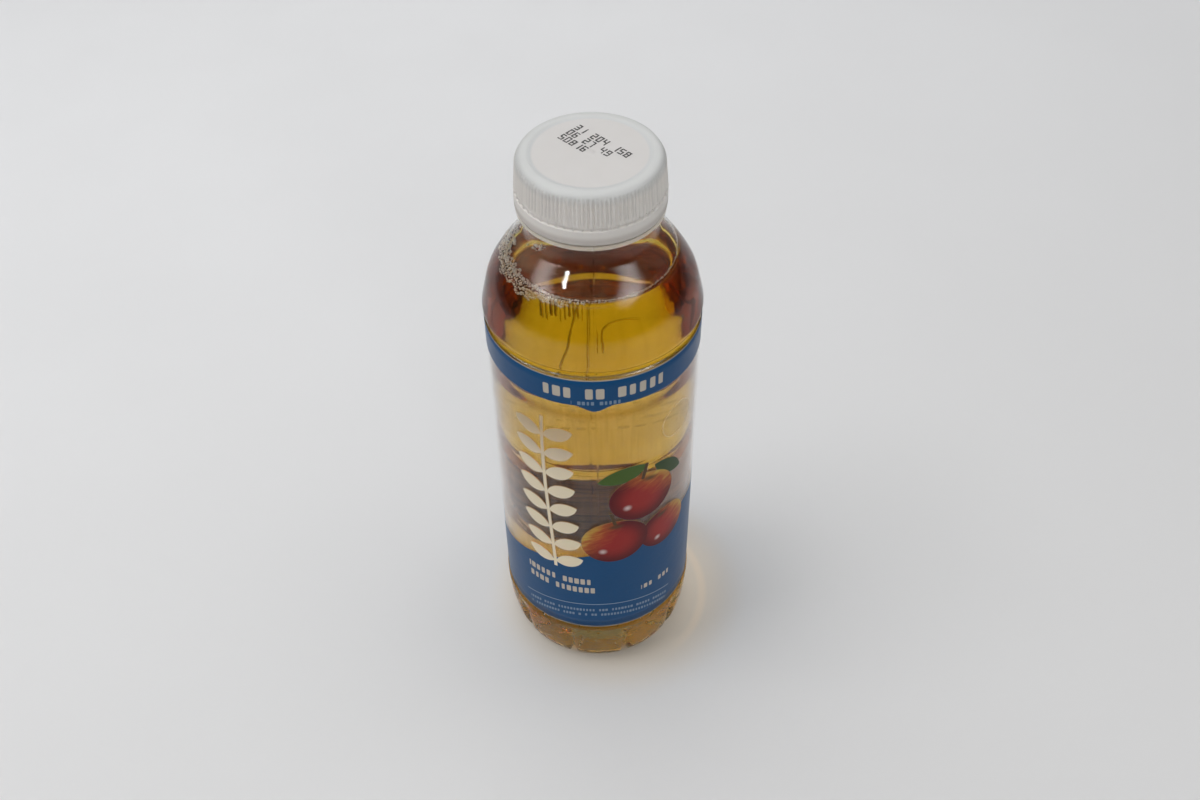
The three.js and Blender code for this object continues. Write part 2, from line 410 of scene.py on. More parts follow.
def ball(detail):
    """Vertices and faces of a unit ball"""
    form = bmesh.new()
    bmesh.ops.create_icosphere(form, subdivisions=detail, radius=1.0)
    vertices = [v.co.copy() for v in form.verts]
    faces = [tuple(v.index for v in f.verts) for f in form.faces]
    form.free()
    return vertices, faces


def froth_share(angle):
    """How wide the froth is at an angle from the front, from 0 to 1"""
    grows = smooth(angle, FROTH_ENDS[0], FROTH_FULL[0])
    fades = 1 - smooth(angle, FROTH_FULL[1], FROTH_ENDS[1])
    line = smooth(angle, *FROTH_LINE[:2]) * (1 - smooth(angle, *FROTH_LINE[2:]))
    turn = math.radians(angle)
    lumps = 0.78 + 0.22 * math.sin(23 * turn) * math.sin(9 * turn + 1.0)
    return max(grows * fades * lumps, FROTH_LINE_SHARE * line, FROTH_LEAST)


def froth_places(rng):
    """Place and size of each bubble: a crowd on the edge of the drink, and a small bunch by the neck"""
    for _ in range(FROTH_TRIES):
        angle = rng.uniform(-180.0, 180.0)
        share = froth_share(angle)
        size = (0.19 + 0.36 * rng.random() ** 2) * (0.6 + 0.4 * share)
        if rng.random() > share:
            continue
        low = rng.random() ** 1.5 * FROTH_DEPTH * share if rng.random() < 0.6 else 0.0
        from_wall = size * 1.25 + (0.0 if low else rng.random() ** 1.4 * FROTH_WIDTH * share)
        height = surface_height(from_wall) + size * 0.25 - low
        radius = rim_radius(height) - from_wall
        turn = math.radians(angle)
        yield Vector((radius * math.sin(turn), -radius * math.cos(turn), height)), size
    for _ in range(CLUSTER_BUBBLES):
        size = rng.uniform(0.18, 0.4)
        across, back = rng.gauss(CLUSTER_PLACE.x, 1.1), rng.gauss(CLUSTER_PLACE.y, 0.8)
        yield Vector((across, back, LEVEL + size * 0.2)), size


def neighbours(cells, cell):
    """The bubbles in a cell and in the eight round it"""
    found = []
    for i in (-1, 0, 1):
        for j in (-1, 0, 1):
            found += cells.get((cell[0] + i, cell[1] + j), [])
    return found


def make_froth(material):
    """Bubbles that crowd on the edge of the drink, most of them on the left"""
    shape, shape_faces = ball(2)
    vertices, faces, cells = [], [], {}
    for place, size in froth_places(random.Random(7)):
        cell = (math.floor(place.x), math.floor(place.y))
        near = neighbours(cells, cell)
        if any((place - other).length < (size + width) * FROTH_SPACING for other, width in near):
            continue
        cells.setdefault(cell, []).append((place, size))
        start = len(vertices)
        vertices += [tuple(place + v * size) for v in shape]
        faces += [tuple(start + k for k in f) for f in shape_faces]
    return new_piece("froth_bubbles", vertices, faces, [material])


# Label

def make_label(material):
    """The film sleeve"""
    outer = FILM_RADIUS
    inner = FILM_RADIUS - FILM_THICKNESS
    outline = refined([(inner, FILM_TOP), (inner, FILM_BOTTOM)], 4.0)
    outline += refined([(outer, FILM_BOTTOM), (outer, FILM_TOP)], 4.0)
    vertices, faces = turned(outline, even_angles(240))
    return new_piece("label_sleeve", vertices, faces, [material])


# Cap

def shape_ribs(radius, angle, height):
    """Adds the ribs and the tear line's teeth to the outside, and two deeper grooves at the front"""
    if radius < DISC_RADIUS + 1.0 or not BAND_TOP < height < CAP_TOP - 0.5:
        return radius, angle, height
    if height < SKIRT_BOTTOM:
        tooth = max(0.0, math.cos(TEETH * angle)) ** 2
        return radius + TOOTH_REACH * tooth * (radius < SKIRT_FOOT_RADIUS - 0.1), angle, height
    foot = smooth(height, RIB_BOTTOM - 0.2, RIB_BOTTOM + 0.4)
    share = foot * (1 - smooth(height, RIB_TOP - 0.9, RIB_TOP + 0.2))
    wave = 0.5 + 0.5 * math.cos(RIBS * angle)
    degrees = math.degrees(angle + math.pi) % 360 - 180
    mark = max(math.exp(-(((degrees - place) / 0.75) ** 2)) for place in CAP_MARKS)
    return radius + share * (RIB_DEPTH * (wave - 0.25) - MARK_DEPTH * mark), angle, height


def make_cap(material):
    inside = NECK_TOP + 0.3
    floor = CAP_TOP - DISC_DROP
    groove = BAND_RADIUS - 2 * TEAR_LINE
    lower = rounded([
        (CAP_BORE, CAP_BOTTOM, 0.3),
        (BAND_RADIUS, CAP_BOTTOM, 0.3),
        (BAND_RADIUS, BAND_TOP, 0.25),
        (groove, BAND_TOP + TEAR_LINE / 2, 0),
        (groove, SKIRT_BOTTOM - TEAR_LINE / 2, 0),
        (SKIRT_FOOT_RADIUS, SKIRT_BOTTOM, 0.15),
        (SKIRT_TOP_RADIUS, CAP_TOP, RIM_ROUND),
        (DISC_RADIUS + 0.3, CAP_TOP, 0.2),
        (DISC_RADIUS - 0.7, floor, 0.5),
        (DISC_RADIUS - 1.6, floor, 0),
    ], 6)
    disc = [(radius, floor) for radius in (12.0, 10.0, 7.0, 4.0, 1.6)]
    gate = [(0.8, floor + 0.02), (0.65, floor + 0.16), (0.3, floor + 0.2), (0.0, floor + 0.2)]
    bore = [(0.0, inside), (CAP_BORE - 0.4, inside), (CAP_BORE, inside - 0.4)]
    vertices, faces = turned(bore + refined(lower, 0.8) + disc + gate, even_angles(RIBS * 8), shape_ribs)
    return new_piece("cap_shell", vertices, faces, [material])


def code_dots(digit):
    """Places of the dots of a digit, in steps across and up, with each stroke of three dots"""
    ends = {
        "a": ((0, 6), (3, 6)), "b": ((3, 6), (3, 3)), "c": ((3, 3), (3, 0)), "d": ((0, 0), (3, 0)),
        "e": ((0, 3), (0, 0)), "f": ((0, 6), (0, 3)), "g": ((0, 3), (3, 3)),
    }
    dots = set()
    for stroke in STROKES[digit]:
        (x0, y0), (x1, y1) = ends[stroke]
        for k in range(4):
            dots.add((round(x0 + (x1 - x0) * k / 3), round(y0 + (y1 - y0) * k / 3)))
    return sorted(dots)


def make_code(material):
    """The rows of digits on the cap, printed as small dots"""
    vertices, faces = [], []
    turn = math.radians(CODE_TILT)
    across, up = Vector((math.cos(turn), math.sin(turn))), Vector((-math.sin(turn), math.cos(turn)))
    rng = random.Random(3)
    floor = CAP_TOP - DISC_DROP
    for row, digits in enumerate(CODE_ROWS):
        for place, digit in enumerate(digits):
            for x, y in code_dots(digit):
                step = place * CODE_PITCH + x * CODE_DOT + rng.gauss(0, 0.02)
                rise = (y - 3) * CODE_DOT - row * CODE_SPACING + rng.gauss(0, 0.02)
                spot = CODE_PLACE + across * step + up * rise
                first = len(vertices)
                size = CODE_DOT * rng.uniform(0.58, 0.8)
                for ring, share in ((0.0, 1.0), (0.015, 0.9)):
                    for a in even_angles(8):
                        edge = spot + Vector((math.cos(a), math.sin(a))) * size * share
                        vertices.append((edge.x, edge.y, floor + ring))
                faces.append(tuple(first + k for k in range(7, -1, -1)))
                faces.append(tuple(first + 8 + k for k in range(8)))
                for k in range(8):
                    m = (k + 1) % 8
                    faces.append((first + k, first + m, first + 8 + m, first + 8 + k))
    return new_piece("cap_code", vertices, faces, [material], smooth_faces=False)


# Materials

class Field:
    """A number or a vector at each point of a surface, so that a print can be written as formulas"""

    def __init__(self, tree, socket):
        self.tree = tree
        self.socket = socket

    def node(self, kind, operation, *values):
        node = self.tree.nodes.new(kind)
        node.operation = operation
        for socket, value in zip(node.inputs, values):
            plug(self.tree, socket, value)
        return node

    def math(self, operation, *values):
        return Field(self.tree, self.node("ShaderNodeMath", operation, self, *values).outputs[0])

    def vector(self, operation, *values):
        """The same for vectors, whose inputs are fields or plain triples"""
        node = self.node("ShaderNodeVectorMath", operation, self, *values)
        return Field(self.tree, node.outputs["Vector"])

    def length(self):
        return Field(self.tree, self.node("ShaderNodeVectorMath", "LENGTH", self).outputs["Value"])

    def dot(self, other):
        node = self.node("ShaderNodeVectorMath", "DOT_PRODUCT", self, other)
        return Field(self.tree, node.outputs["Value"])

    def __add__(self, other):
        return self.math("ADD", other)

    def __sub__(self, other):
        return self.math("SUBTRACT", other)

    def __mul__(self, other):
        return self.math("MULTIPLY", other)

    def __truediv__(self, other):
        return self.math("DIVIDE", other)

    def __rsub__(self, other):
        return self.math("MULTIPLY_ADD", -1.0, other)

    __radd__ = __add__
    __rmul__ = __mul__

    def __abs__(self):
        return self.math("ABSOLUTE")

    def most(self, other):
        return self.math("MAXIMUM", other)

    def sine(self):
        return self.math("SINE")

    def ramp(self, low, high, start=0.0, end=1.0):
        """One value below low, another above high, and a smooth ramp between them"""
        node = self.tree.nodes.new("ShaderNodeMapRange")
        node.interpolation_type = "SMOOTHSTEP"
        for socket, value in zip(node.inputs, (self, low, high, start, end)):
            plug(self.tree, socket, value)
        return Field(self.tree, node.outputs[0])


def plug(tree, socket, value):
    """Links a field or a socket to a socket, or sets the plain value"""
    if isinstance(value, Field):
        value = value.socket
    if isinstance(value, bpy.types.NodeSocket):
        tree.links.new(value, socket)
    else:
        socket.default_value = value


class Shade:
    """A material whose nodes are added by short calls"""

    def __init__(self, name):
        self.material = bpy.data.materials.new(name)
        self.material.use_nodes = True
        self.tree = self.material.node_tree
        self.tree.nodes.clear()
        self.out = self.add("OutputMaterial")

    def add(self, kind, **inputs):
        node = self.tree.nodes.new("ShaderNode" + kind)
        for name, value in inputs.items():
            plug(self.tree, node.inputs[name.replace("_", " ")], value)
        return node

    def mixed(self, share, first, second):
        """The first shader where share is 0, and the second where it is 1"""
        node = self.add("MixShader")
        for socket, value in zip(node.inputs, (share, first.outputs[0], second.outputs[0])):
            plug(self.tree, socket, value)
        return node

    def colour_mix(self, share, first, second):
        node = self.tree.nodes.new("ShaderNodeMix")
        node.data_type = "RGBA"
        for name, value in (("Factor_Float", share), ("A_Color", first), ("B_Color", second)):
            plug(self.tree, next(s for s in node.inputs if s.identifier == name), value)
        return Field(self.tree, next(s for s in node.outputs if s.identifier == "Result_Color"))

    def combine(self, *parts):
        return Field(self.tree, self.add("CombineXYZ", **dict(zip("XYZ", parts))).outputs[0])

    def place(self):
        """Coordinates of the object, in millimetres, as three fields"""
        parts = self.add("SeparateXYZ", Vector=self.add("TexCoord").outputs["Object"])
        return [Field(self.tree, socket) / MM for socket in parts.outputs]

    def noise(self, scale, detail=2.0, where=None):
        """Noise from 0 to 1, with its scale in bumps for each millimetre"""
        if where is None:
            where = self.add("TexCoord").outputs["Object"]
            scale = scale / MM
        node = self.add("TexNoise", Vector=where, Scale=scale, Detail=detail)
        return Field(self.tree, node.outputs[0])

    def chance(self, *seeds):
        """A random number from 0 to 1 for each whole step"""
        return Field(self.tree, self.add("TexWhiteNoise", Vector=self.combine(*seeds)).outputs["Value"])

    def bump(self, height, depth):
        """A normal from a height field of so many millimetres"""
        node = self.add("Bump", Strength=1.0, Distance=depth * MM, Height=height)
        return node.outputs[0]

    def thin_shine(self):
        """How much a thin clear sheet mirrors, the same from both of its sides"""
        facing = Field(self.tree, self.add("LayerWeight", Blend=0.5).outputs["Facing"])
        return facing.math("POWER", 5.0) * 0.9 + 0.015

    def finish(self, surface, volume=None):
        plug(self.tree, self.out.inputs["Surface"], surface.outputs[0])
        if volume:
            plug(self.tree, self.out.inputs["Volume"], volume.outputs[0])
        return self.material


def plastic_material():
    """Clear plastic with the faint waves of a blown wall, and stronger ones low down where it is thick"""
    shade = Shade("clear_plastic")
    heel = shade.place()[2].ramp(9.0, HEEL_TOP, 1.0, 0.0)
    waves = shade.noise(0.11, 1.0) + shade.noise(0.9, 0.0) * 0.06 + shade.noise(0.42, 2.0) * heel * 5.0
    return shade.finish(shade.add(
        "BsdfPrincipled", Base_Color=(0.995, 0.997, 0.995, 1), Roughness=0.01, IOR=1.22,
        Transmission_Weight=1.0, Normal=shade.bump(waves, 0.08),
    ))


def collar_material():
    """The same plastic on the thick collar, where it is worn, made milky and pale as a painted reflection
    of the bright cap and floor
    """
    shade = Shade("collar_plastic")
    scuffs = shade.noise(1.5, 2.0)
    return shade.finish(shade.add(
        "BsdfPrincipled", Base_Color=(1.0, 0.94, 0.83, 1), Roughness=0.3, IOR=1.4,
        Transmission_Weight=0.4, Normal=shade.bump(scuffs, 0.03),
    ))


def juice_material():
    """Clear amber, with a faint film of the finest bubbles on its surface, most of it near the froth"""
    shade = Shade("apple_juice")
    x, _, z = shade.place()
    near_froth = (x * -1.0).ramp(-20.0, 18.0, 0.35, 1.0)
    haze = shade.noise(0.22, 2.0).ramp(0.3, 0.7, 0.04, 0.20) * near_froth
    haze = haze * z.ramp(LEVEL - 0.2, LEVEL - 0.02) * z.ramp(LEVEL + 0.05, LEVEL + 0.4, 1.0, 0.0)
    surface = shade.add(
        "BsdfPrincipled", Base_Color=(1, 1, 1, 1), Roughness=0.0, IOR=1.33, Specular_IOR_Level=0.0,
        Transmission_Weight=1.0,
    )
    film = shade.add("BsdfDiffuse", Color=(0.9, 0.60, 0.34, 1))
    inside = shade.add("VolumeAbsorption", Color=JUICE_COLOUR, Density=JUICE_DENSITY)
    return shade.finish(shade.mixed(haze, surface, film), inside)


def froth_material():
    """Bubbles that are clear in their middle and pale at their rim"""
    shade = Shade("froth")
    tone = shade.colour_mix(shade.noise(1.6, 0.0).ramp(0.3, 0.55), FROTH_TAN, FROTH_PALE)
    skin = shade.add("BsdfPrincipled", Base_Color=tone, Roughness=0.07, IOR=1.4)
    facing = Field(shade.tree, shade.add("LayerWeight", Blend=0.5).outputs["Facing"])
    return shade.finish(shade.mixed(facing.ramp(0.0, 0.6, 0.72, 1.0), shade.add("BsdfTransparent"), skin))


# Print on the film: fields of colour and simple shapes, placed by angle from the front and height

DEGREE_WIDTH = FILM_RADIUS * math.pi / 180
SHARP = 0.09
BLUE_BOTTOM = 19.6
BLUE_TOP = 122.4
BLUE = (0.004, 0.072, 0.205, 1)
PALE_BLUE = (0.36, 0.46, 0.56, 1)
EDGE = (0.60, 0.56, 0.50, 1)
LEAF = (0.07, 0.13, 0.02, 1)
DARK_LEAF = (0.035, 0.07, 0.015, 1)
BARK = (0.09, 0.05, 0.02, 1)
INK = (0.03, 0.025, 0.02, 1)
CREAM = (1.0, 0.86, 0.62, 1)
# The inner side's pale backing, painted amber for the light that reaches it through the juice
BACKING_IN_AMBER_LIGHT = (1.0, 0.56, 0.17, 1)
RED = (0.34, 0.022, 0.018, 1)
DARK_RED = (0.11, 0.006, 0.008, 1)
ORANGE = (0.55, 0.13, 0.03, 1)
YELLOW = (0.62, 0.45, 0.08, 1)
# How much of a print shows on its inner side
PRINT_SHOWS = 0.06
# The blue band's lower edge, and the small tab below it at the front
BAND_BOTTOM = 114.0
TAB_HALF = 5.2
TAB_DROP = 1.9
# The sprig: its foot in degrees and mm, the step from leaf to leaf, and how its leaves stand out
SPRIG_PLACE = (-27.0, 46.5)
SPRIG_PITCH = 7.4
SPRIG_TOP = 107.5
SPRIG_PAIRS = 8.0
LEAF_OUT = 4.3
LEAF_TILT = 20.0
# How much the lowest lines sag to their sides, and the step of the bars on the back
ARC_BEND = 0.0065
BAR_PITCH = 0.56


class Print(Shade):
    """The film's material. Layers are added from the bottom up."""

    def __init__(self, name):
        super().__init__(name)
        x, y, self.height = self.place()
        self.off = self.combine(x, y, 0.0).length()
        front = x.math("ARCTAN2", y * -1.0) * FILM_RADIUS
        back = (x * -1.0).math("ARCTAN2", y) * FILM_RADIUS
        self.sides = {
            "front": (front, self.combine(front, self.height, 0.0)),
            "back": (back, self.combine(back, self.height, 0.0)),
        }
        self.face("front")
        self.colour = PALE_BLUE
        self.cover = 0.0

    def face(self, side):
        """From here on, millimetres across are from the middle of the front, or of the back towards -X"""
        self.across, self.flat = self.sides[side]

    def lay(self, inside, colour, strength=1.0):
        """Prints a colour where inside is 1"""
        self.colour = self.colour_mix(inside, self.colour, colour)
        self.cover = (inside * strength if strength != 1.0 else inside).most(self.cover)

    def at(self, centre, tilt=0.0, size=(1.0, 1.0)):
        """Place from a centre (in degrees and mm), turned by a tilt, in shares of a size"""
        node = self.add(
            "Mapping", Vector=self.flat, Location=(centre[0] * DEGREE_WIDTH, centre[1], 0.0),
            Rotation=(0.0, 0.0, math.radians(tilt)), Scale=(*size, 1.0),
        )
        node.vector_type = "TEXTURE"
        return Field(self.tree, node.outputs[0])

    def covered(self, distance, soft=SHARP):
        """1 where a distance in millimetres is below 0"""
        return distance.ramp(-soft, soft, 1.0, 0.0)

    def band(self, low, high):
        return self.covered((low - self.height).most(self.height - high))

    def bar(self, spot, half, corner, soft=SHARP):
        """A bar with round corners, about a place; half is its half size without the corners"""
        outside = spot.vector("ABSOLUTE").vector("SUBTRACT", half).vector("MAXIMUM", (0, 0, 0)).length()
        return outside.ramp(corner - soft, corner + soft, 1.0, 0.0)

    def disc(self, spot, radius, soft=SHARP):
        return spot.length().ramp(1.0 - soft / radius, 1.0 + soft / radius, 1.0, 0.0)

    def ring(self, spot, radius, half):
        """A thin circle"""
        return self.covered(abs(spot.length() - radius) - half)

    def leaf(self, spot, length, width):
        """Where two discs overlap: a pointed leaf"""
        reach = (length * length / width - width) / 4
        off = spot.vector("ABSOLUTE").vector("ADD", (0, reach, 0)).length()
        return self.covered(off - (reach + width / 2))

    def dashes(self, start, end, top, half, pitch, lines=1, spacing=9.0, bend=0.0):
        """Lines of small round bars of uneven widths, with gaps as between words, between two angles"""
        height = self.height + self.across * self.across * bend if bend else self.height
        down = (top + spacing / 2 - height) / spacing
        line = down.math("FLOOR")
        step = self.across / pitch + line * 0.37
        count = step.math("FLOOR")
        chance = self.chance(count, line, top)
        part = self.combine((step - count - 0.5) * pitch, (down - line - 0.5) * spacing, 0.0)
        corner = min(0.16 * pitch, half * 0.6)
        wide = chance.math("MULTIPLY_ADD", 0.17 * pitch, 0.23 * pitch - corner)
        inside = self.bar(part, self.combine(wide, half - corner, 9.0), corner, SHARP * 0.8)
        middle = top - (lines - 1) * spacing / 2
        area = self.combine(self.across - (start + end) / 2 * DEGREE_WIDTH, height - middle, 0.0)
        room = ((end - start) / 2 * DEGREE_WIDTH, max(lines * spacing / 2, half), 9.0)
        return inside * chance.math("GREATER_THAN", 0.14) * self.bar(area, room, 0.01)


def wave(across):
    """Height of the top of the blue field at a field of millimetres across"""
    turn = across / FILM_RADIUS
    return (turn + 0.14).sine() * 9.0 + turn.math("COSINE") * 2.4 + 50.9


def fruit(paint, centre, radius, blush, tilt, grain):
    """A plain round fruit: red with a yellow side, darker at its edge, with a soft light spot"""
    spot = paint.at(centre, tilt, (radius, radius * 0.92))
    off = spot.length()
    toward = (math.cos(blush), math.sin(blush), 0.0)
    skin = paint.colour_mix(off.ramp(0.3, 1.02), RED, DARK_RED)
    flush = spot.dot(toward) + grain
    skin = paint.colour_mix(flush.ramp(0.05, 0.85, 0.0, 0.75), skin, ORANGE)
    skin = paint.colour_mix(flush.ramp(0.55, 1.15, 0.0, 0.9), skin, YELLOW)
    dimple = spot.vector("SUBTRACT", (0.05, 0.74, 0)).vector("MULTIPLY", (1.0, 2.2, 1)).length()
    skin = paint.colour_mix(dimple.ramp(0.05, 0.34, 0.85, 0.0), skin, BARK)
    glow = spot.vector("SUBTRACT", (-0.4, -0.42, 0)).length()
    skin = paint.colour_mix(glow.ramp(0.0, 0.17, 0.7, 0.0), skin, (0.9, 0.8, 0.75, 1))
    paint.lay(paint.disc(spot, radius), skin)


def lay_sprig(paint):
    """A pale stalk with pairs of leaves, up the left side of the front, more see-through at its top"""
    parts = paint.add("SeparateXYZ", Vector=paint.at((SPRIG_PLACE[0], 0.0)))
    across, height = [Field(paint.tree, parts.outputs[k]) for k in (0, 1)]
    out = abs(across - (height * 0.05).sine() * 1.2) - LEAF_OUT
    tilt = math.radians(LEAF_TILT)
    up = (height - out * math.tan(tilt) - SPRIG_PLACE[1]) / SPRIG_PITCH
    rise = (up - up.math("FLOOR") - 0.5) * SPRIG_PITCH
    along = out / math.cos(tilt) + rise * math.sin(tilt)
    leaves = paint.leaf(paint.combine(along, rise * math.cos(tilt), 0.0), 8.6, 4.8)
    pairs = paint.covered((up * -1.0).most(up - SPRIG_PAIRS), 0.01)
    stalk = paint.covered((out + LEAF_OUT - 0.5).most(SPRIG_PLACE[1] - height).most(height - SPRIG_TOP))
    inside = (leaves * pairs).most(stalk)
    paint.lay(inside * height.ramp(84.0, 106.0, 0.95, 0.4), CREAM)


def lay_fruit(paint):
    """Plain fruit with leaves, right of the front's middle"""
    grain = paint.noise(0.9, 3.0, paint.at((0, 0), 20, (3.5, 1.0))) * 0.9 - 0.45
    paint.lay(paint.leaf(paint.at((15.0, 86.6), 14), 14.5, 5.6), LEAF)
    paint.lay(paint.leaf(paint.at((44.0, 83.0), -38), 12.5, 5.0), DARK_LEAF)
    fruit(paint, (27.0, 76.0), 9.8, 1.2, -12, grain)
    paint.lay(paint.bar(paint.at((27.5, 86.0), -12), (0.1, 2.6, 9.0), 0.42), BARK)
    fruit(paint, (42.5, 58.6), 8.2, 0.3, 14, grain)
    fruit(paint, (10.5, 59.6), 9.5, 2.6, 4, grain)
    paint.lay(paint.bar(paint.at((9.0, 69.4), 16), (0.1, 2.2, 9.0), 0.4), BARK)


def lay_front(paint):
    """Lines of plain dashes in place of words, on the band and in the blue field"""
    paint.face("front")
    paint.lay(paint.dashes(-38, 37, 118.1, 1.75, 2.7), CREAM, 0.97)
    paint.lay(paint.dashes(-12, 13, 114.9, 0.6, 1.1), PALE_BLUE, 0.97)
    lay_sprig(paint)
    lay_fruit(paint)
    paint.lay(paint.dashes(-45, -2, 41.4, 1.25, 1.75, lines=2, spacing=4.0), CREAM, 0.97)
    paint.lay(paint.dashes(27, 48, 34.6, 1.0, 1.7), CREAM, 0.97)
    arc = abs(paint.height + paint.across * paint.across * ARC_BEND - 30.6) - 0.12
    paint.lay(paint.covered(arc.most(abs(paint.across) - 49 * DEGREE_WIDTH)), PALE_BLUE, 0.97)
    paint.lay(paint.dashes(-46, 47, 27.7, 0.55, 0.95, lines=2, spacing=2.3, bend=ARC_BEND), PALE_BLUE, 0.97)
    paint.lay(paint.ring(paint.at((50.0, 99.0)), 5.6, 0.14), CREAM, 0.35)


def lay_back(paint):
    """A block of fine upright bars, a few thin lines, and lines of small dashes"""
    paint.face("back")
    step = paint.across / BAR_PITCH
    count = step.math("FLOOR")
    chance = paint.chance(count, 3.0, 5.0)
    thin = abs(step - count - 0.5) * BAR_PITCH - chance * 0.16
    low = 95.4 + chance * 2.6
    sides = abs(paint.across - 3.8) - 2.8
    bars = thin.most(low - paint.height).most(paint.height - 100.8).most(sides)
    paint.lay(paint.covered(bars), INK, 0.8)
    arch = paint.ring(paint.at((-10.0, 92.2)), 3.8, 0.09) * paint.across.ramp(-6.4, -4.8)
    paint.lay(arch * paint.height.ramp(91.0, 92.6), INK, 0.5)
    lean = (paint.height - 97.0) * -0.16
    first = abs(paint.across - lean - 2.4) - 0.1
    second = abs(paint.across - 0.75) - 0.08
    paint.lay(paint.covered(first.math("MINIMUM", second)) * paint.band(87.0, 99.0), INK, 0.55)
    paint.lay(paint.dashes(-36, 36, 80.0, 0.4, 1.3, lines=5, spacing=2.8), CREAM, 0.2)
    paint.face("front")


def lay_print(paint):
    """The blue band with its tab, the blue field below, the film's pale edges, and the front and back"""
    tab = abs(paint.across).ramp(0.0, TAB_HALF, TAB_DROP, 0.0)
    field = (BLUE_BOTTOM - paint.height).most(paint.height - wave(paint.across))
    paint.lay(paint.covered(field), BLUE)
    paint.lay(paint.covered((BAND_BOTTOM - tab - paint.height).most(paint.height - BLUE_TOP)), BLUE)
    paint.lay(paint.band(BLUE_TOP, BLUE_TOP + 0.4), EDGE, 0.6)
    paint.lay(paint.band(FILM_BOTTOM - 1.0, BLUE_BOTTOM), EDGE, 0.7)
    lay_front(paint)
    lay_back(paint)


def film_material():
    """Clear film with its print; from inside, its back shows a pale backing painted amber for light through
    the juice
    """
    paint = Print("film")
    lay_print(paint)
    streaks = paint.noise(1.0, 2.0, paint.flat.vector("MULTIPLY", (0.03, 0.9, 1))).ramp(0.3, 0.7, 0.86, 1.3)
    veins = paint.noise(1.0, 1.0, paint.flat.vector("MULTIPLY", (1.1, 0.05, 1))).ramp(0.3, 0.7, 0.97, 1.0)
    inner = paint.off.ramp(FILM_RADIUS - FILM_THICKNESS, FILM_RADIUS, 1.0, 0.0)
    back = paint.colour_mix(PRINT_SHOWS, BACKING_IN_AMBER_LIGHT, paint.colour)
    back = back.vector("MULTIPLY", paint.combine(streaks, streaks, streaks))
    colour = paint.colour_mix(inner, paint.colour, back)
    wrinkles = paint.noise(0.22, 2.0) + paint.noise(1.4, 0.0) * 0.1
    normal = paint.bump(wrinkles, 0.06)
    ink = paint.add("BsdfPrincipled", Base_Color=colour, Roughness=0.3, IOR=1.25, Normal=normal)
    gloss = paint.add("BsdfGlossy", Color=(1, 1, 1, 1), Roughness=0.12, Normal=normal)
    clear = paint.add("BsdfTransparent", Color=paint.combine(veins, veins, veins))
    return paint.finish(paint.mixed(paint.cover, paint.mixed(paint.thin_shine(), clear, gloss), ink))


# Tones of the cap: the skirt's is painted lighter for light its sides would gather, the rim's darker as
# painted shade against the lamps' glare, and the crease and gap tones are painted shade
CAP_DISC = (0.62, 0.595, 0.575, 1)
CAP_DISC_PALE = (0.67, 0.65, 0.635, 1)
CAP_CREASE_SHADE = (0.52, 0.55, 0.57, 1)
CAP_SKIRT_PAINTED_LIGHT = (0.86, 0.82, 0.775, 1)
CAP_RIM_PAINTED_SHADE = (0.62, 0.625, 0.615, 1)
CAP_BAND = (0.65, 0.60, 0.555, 1)
CAP_GAP_SHADE = (0.36, 0.35, 0.34, 1)


def cap_material():
    """Milky plastic that lets some light through, a little rough, with painted shade between its ribs"""
    shade = Shade("cap_plastic")
    x, y, z = shade.place()
    off = shade.combine(x, y, 0.0).length()
    turn = x.math("ARCTAN2", y)
    edge = off.ramp(DISC_RADIUS - 1.2, DISC_RADIUS + 0.6)
    disc = shade.colour_mix(shade.noise(0.12, 3.0), CAP_DISC, CAP_DISC_PALE)
    # Painted shade in the crease round the disc
    crease_shade = abs(off - DISC_RADIUS + 0.2).ramp(0.1, 0.9, 0.6, 0.0)
    disc = shade.colour_mix(crease_shade, disc, CAP_CREASE_SHADE)
    # Painted light and shade by height: the skirt lighter, the rim darker
    rim = shade.colour_mix(z.ramp(RIB_TOP - 2.5, CAP_TOP - 0.3), CAP_SKIRT_PAINTED_LIGHT, CAP_RIM_PAINTED_SHADE)
    rim = shade.colour_mix(z.ramp(CAP_BOTTOM + 1.0, CAP_BOTTOM + 2.6), CAP_BAND, rim)
    on_ribs = abs(z - (RIB_TOP + RIB_BOTTOM) / 2).ramp(2.4, 3.4, 1.0, 0.0)
    # Painted shade between the ribs, darker in some gaps than in others
    uneven = shade.chance((turn * (RIBS / 2 / math.pi) + 0.5).math("FLOOR")).ramp(0.0, 1.0, 0.0, 0.24)
    gap_shade = (turn * RIBS).math("COSINE").ramp(-0.6, 1.0, 1.0, 0.0) * on_ribs * uneven
    tone = shade.colour_mix(edge, disc, rim)
    tone = shade.colour_mix(gap_shade, tone, CAP_GAP_SHADE)
    flow = (turn * 9.0 + shade.noise(0.3, 2.0) * 5.0).sine() * off.ramp(2.0, 12.0, 1.0, 0.0)
    grain = shade.noise(2.2, 2.0) * 0.4 + flow * 0.3
    return shade.finish(shade.add(
        "BsdfPrincipled", Base_Color=tone, Roughness=0.5, IOR=1.45, Subsurface_Weight=0.25,
        Subsurface_Radius=(1.0, 0.95, 0.88), Subsurface_Scale=2.0 * MM, Normal=shade.bump(grain, 0.012),
    ))


def code_material():
    shade = Shade("code_ink")
    tone = shade.colour_mix(shade.noise(3.0, 1.0), (0.02, 0.018, 0.018, 1), (0.06, 0.055, 0.05, 1))
    return shade.finish(shade.add("BsdfPrincipled", Base_Color=tone, Roughness=0.5))


FLOOR_LIGHT = (0.87, 0.87, 0.88, 1)
FLOOR_DIM = (0.72, 0.715, 0.715, 1)
FLOOR_FAR = (0.3, 0.3, 0.3, 1)
# Painted light that comes through the juice: a warm halo, a brighter arc at the right, and amber below that
# is also painted shade
HALO = (0.76, 0.61, 0.42, 1)
GLOW = (1.0, 0.80, 0.60, 1)
GLOW_RADIUS = 30.5
PAINTED_UNDER_LIGHT = (1.0, 0.55, 0.09, 1)
PAINTED_UNDER_RADIUS = 15.5


